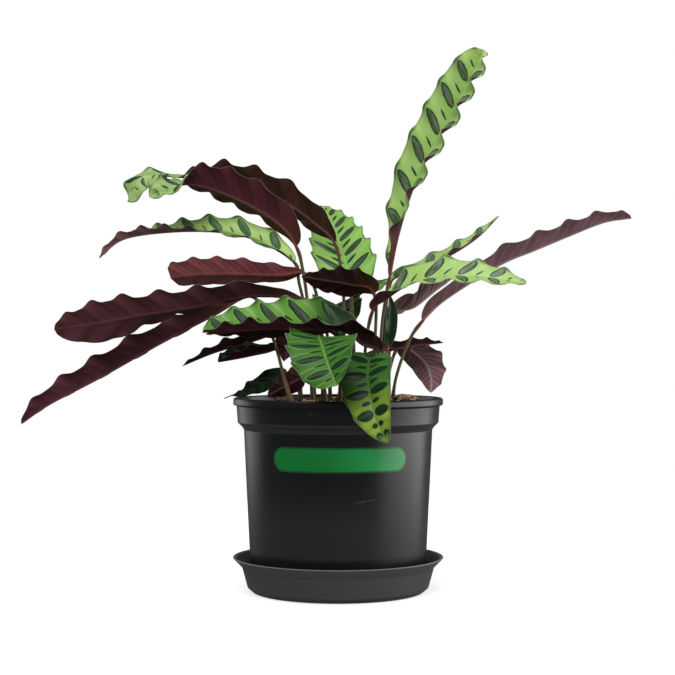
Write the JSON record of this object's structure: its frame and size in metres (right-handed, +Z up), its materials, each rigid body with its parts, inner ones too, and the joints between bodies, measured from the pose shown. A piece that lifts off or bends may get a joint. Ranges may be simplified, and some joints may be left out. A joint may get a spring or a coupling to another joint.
{
  "type": "potted rattlesnake plant",
  "caption": "Potted foliage plant with long wavy spotted leaves, purple beneath, on slim stalks in a round plastic nursery pot standing on a shallow saucer.",
  "frame": {"origin": "centre of the saucer's flat underside, on the surface it stands on", "axes": "+Z up, -Y towards the front with the plain printed panel, +X to the viewer's right along the plant's greatest spread"},
  "size_m": [0.5056, 0.2889, 0.4385],
  "materials": {
    "saucer_plastic": "satin black",
    "pot_plastic": "satin black, with a plain green printed panel on the front",
    "potting_bark": "rough bark chips and potting soil",
    "leaf_blade": "satin leaf, light green with dark green ovals above, maroon beneath",
    "leaf_stalk": "fresh leaf stalk, green to reddish brown"
  },
  "bodies": {
    "root": {"saucer": "saucer_plastic", "pot": "pot_plastic", "soil": "potting_bark", "blade_tall_right": "leaf_blade", "stalk_tall_right": "leaf_stalk", "blade_arch_left_front": "leaf_blade", "stalk_arch_left_front": "leaf_stalk", "blade_arch_left_rear": "leaf_blade", "stalk_arch_left_rear": "leaf_stalk", "blade_thin_left": "leaf_blade", "stalk_thin_left": "leaf_stalk", "blade_red_left": "leaf_blade", "stalk_red_left": "leaf_stalk", "blade_broad_left": "leaf_blade", "stalk_broad_left": "leaf_stalk", "blade_long_low_left": "leaf_blade", "stalk_long_low_left": "leaf_stalk", "blade_short_low_left": "leaf_blade", "stalk_short_low_left": "leaf_stalk", "blade_green_front_left": "leaf_blade", "stalk_green_front_left": "leaf_stalk", "blade_under_front_left": "leaf_blade", "stalk_under_front_left": "leaf_stalk", "blade_hang_front_left": "leaf_blade", "stalk_hang_front_left": "leaf_stalk", "blade_hang_front": "leaf_blade", "stalk_hang_front": "leaf_stalk", "blade_upright_back": "leaf_blade", "stalk_upright_back": "leaf_stalk", "blade_centre_dark": "leaf_blade", "stalk_centre_dark": "leaf_stalk", "blade_back_right_small": "leaf_blade", "stalk_back_right_small": "leaf_stalk", "blade_thin_right": "leaf_blade", "stalk_thin_right": "leaf_stalk", "blade_green_right": "leaf_blade", "stalk_green_right": "leaf_stalk", "blade_long_right": "leaf_blade", "stalk_long_right": "leaf_stalk", "blade_purple_right": "leaf_blade", "stalk_purple_right": "leaf_stalk", "blade_drop_right": "leaf_blade", "stalk_drop_right": "leaf_stalk", "blade_low_right": "leaf_blade", "stalk_low_right": "leaf_stalk", "blade_low_left_dark": "leaf_blade", "stalk_low_left_dark": "leaf_stalk", "blade_rim_left": "leaf_blade", "stalk_rim_left": "leaf_stalk", "blade_soil_left": "leaf_blade", "stalk_soil_left": "leaf_stalk", "blade_inner_right": "leaf_blade", "stalk_inner_right": "leaf_stalk", "blade_back_middle": "leaf_blade", "stalk_back_middle": "leaf_stalk", "blade_back_low": "leaf_blade", "stalk_back_low": "leaf_stalk", "blade_back_left": "leaf_blade", "stalk_back_left": "leaf_stalk"}
  },
  "joints": []
}
